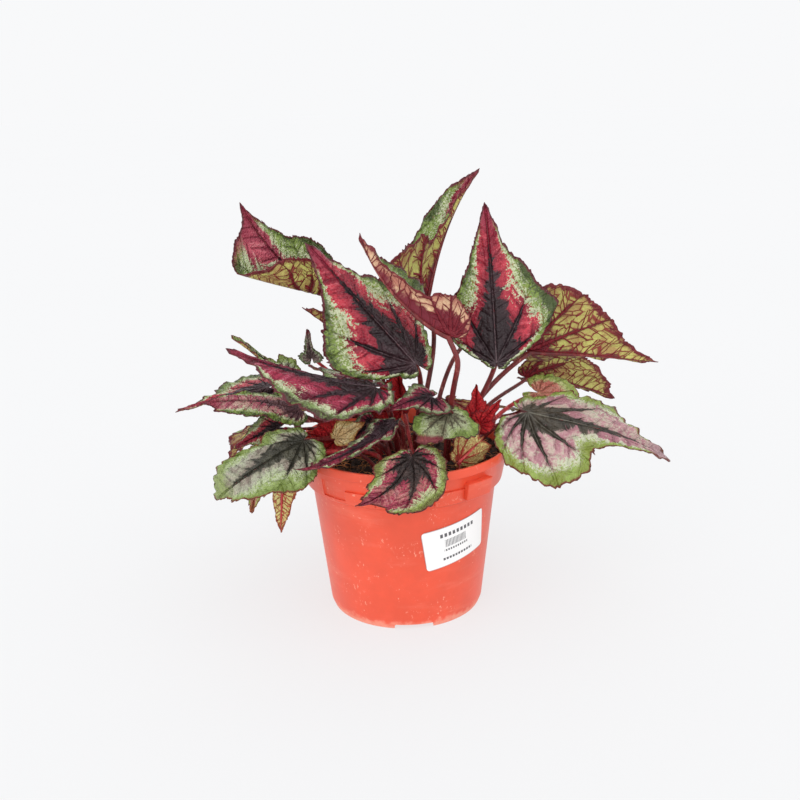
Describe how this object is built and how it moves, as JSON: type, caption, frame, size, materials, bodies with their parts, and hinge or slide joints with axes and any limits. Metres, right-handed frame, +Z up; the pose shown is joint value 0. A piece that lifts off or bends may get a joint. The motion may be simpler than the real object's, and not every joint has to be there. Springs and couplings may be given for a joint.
{
  "type": "potted begonia",
  "caption": "Rex begonia with red, silver and dark green patterned leaves in a round orange plastic nursery pot.",
  "frame": {"origin": "under the middle of the whole plant's box, on the surface the pot stands on; the pot's own axis is at x -16 mm, y -10.5 mm", "axes": "+Z up through the pot's middle; the plant's front, with the label to its right, faces -Y; +X to the right"},
  "size_m": [0.3383, 0.218, 0.3032],
  "materials": {
    "pot": "satin, lightly scuffed",
    "soil": "rough coir fibre",
    "label": "smooth white sticker",
    "leaf": "satin, veined and puckered",
    "young_leaf": "satin, hairy",
    "dry_leaf": "matt, dried out"
  },
  "bodies": {
    "root": {"pot": "pot", "soil": "soil", "label": "label", "leaf_tall_left": "leaf", "leaf_tall_right": "leaf", "leaf_folded_centre": "leaf", "leaf_folded_top": "leaf", "leaf_rolled_left": "leaf", "leaf_right_upper": "leaf", "leaf_right_under": "leaf", "leaf_right_broad": "leaf", "leaf_right_small": "leaf", "leaf_left_long": "leaf", "leaf_left_outer": "leaf", "leaf_left_middle": "leaf", "leaf_left_broad": "leaf", "leaf_left_hidden": "leaf", "leaf_left_tucked": "leaf", "leaf_left_hanging": "leaf", "leaf_left_upright": "leaf", "leaf_left_thin": "leaf", "leaf_front_rim": "leaf", "leaf_centre_curled": "leaf", "leaf_centre_long": "leaf", "leaf_centre_pale": "leaf", "leaf_rim_upright": "leaf", "leaf_behind_left": "leaf", "leaf_centre_tip": "leaf", "young_leaf_right": "young_leaf", "young_leaf_outer": "young_leaf", "young_leaf_left": "young_leaf", "young_leaf_low": "young_leaf", "dry_leaf": "dry_leaf", "leaf_back_left": "leaf", "leaf_back_low_left": "leaf", "leaf_back_low_right": "leaf", "leaf_back_right": "leaf", "leaf_back_high_left": "leaf", "leaf_back_high_right": "leaf"}
  },
  "joints": []
}
